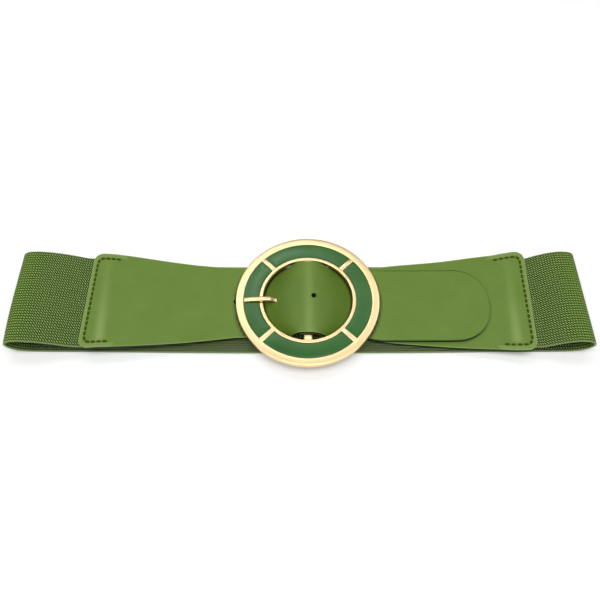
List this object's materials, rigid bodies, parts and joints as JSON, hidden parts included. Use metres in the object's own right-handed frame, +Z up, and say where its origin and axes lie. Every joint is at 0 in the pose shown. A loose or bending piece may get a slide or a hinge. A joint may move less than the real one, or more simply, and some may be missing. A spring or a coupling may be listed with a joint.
{
  "type": "elastic waist belt",
  "caption": "Wide elastic waist belt with flared leather panels and a round enamelled ring buckle with centre bar, lying fastened and folded flat.",
  "frame": {"origin": "middle of the bounding box, at the underside of the back run that lies on the table", "axes": "+X along the belt, +Y across the belt away from the viewer, +Z up through the ring buckle"},
  "size_m": [0.3388, 0.0852, 0.015],
  "materials": {
    "elastic": "ribbed olive green webbing",
    "leather": "smooth olive green, soft sheen",
    "gold": "pale gold plating, polished",
    "enamel": "glossy green enamel"
  },
  "bodies": {
    "root": {"elastic_band": "elastic", "tongue_strap": "leather", "buckle_strap": "leather", "buckle_frame": "gold", "enamel_far": "enamel", "enamel_left": "enamel", "enamel_near": "enamel", "enamel_right": "enamel", "prong": "gold"}
  },
  "joints": []
}
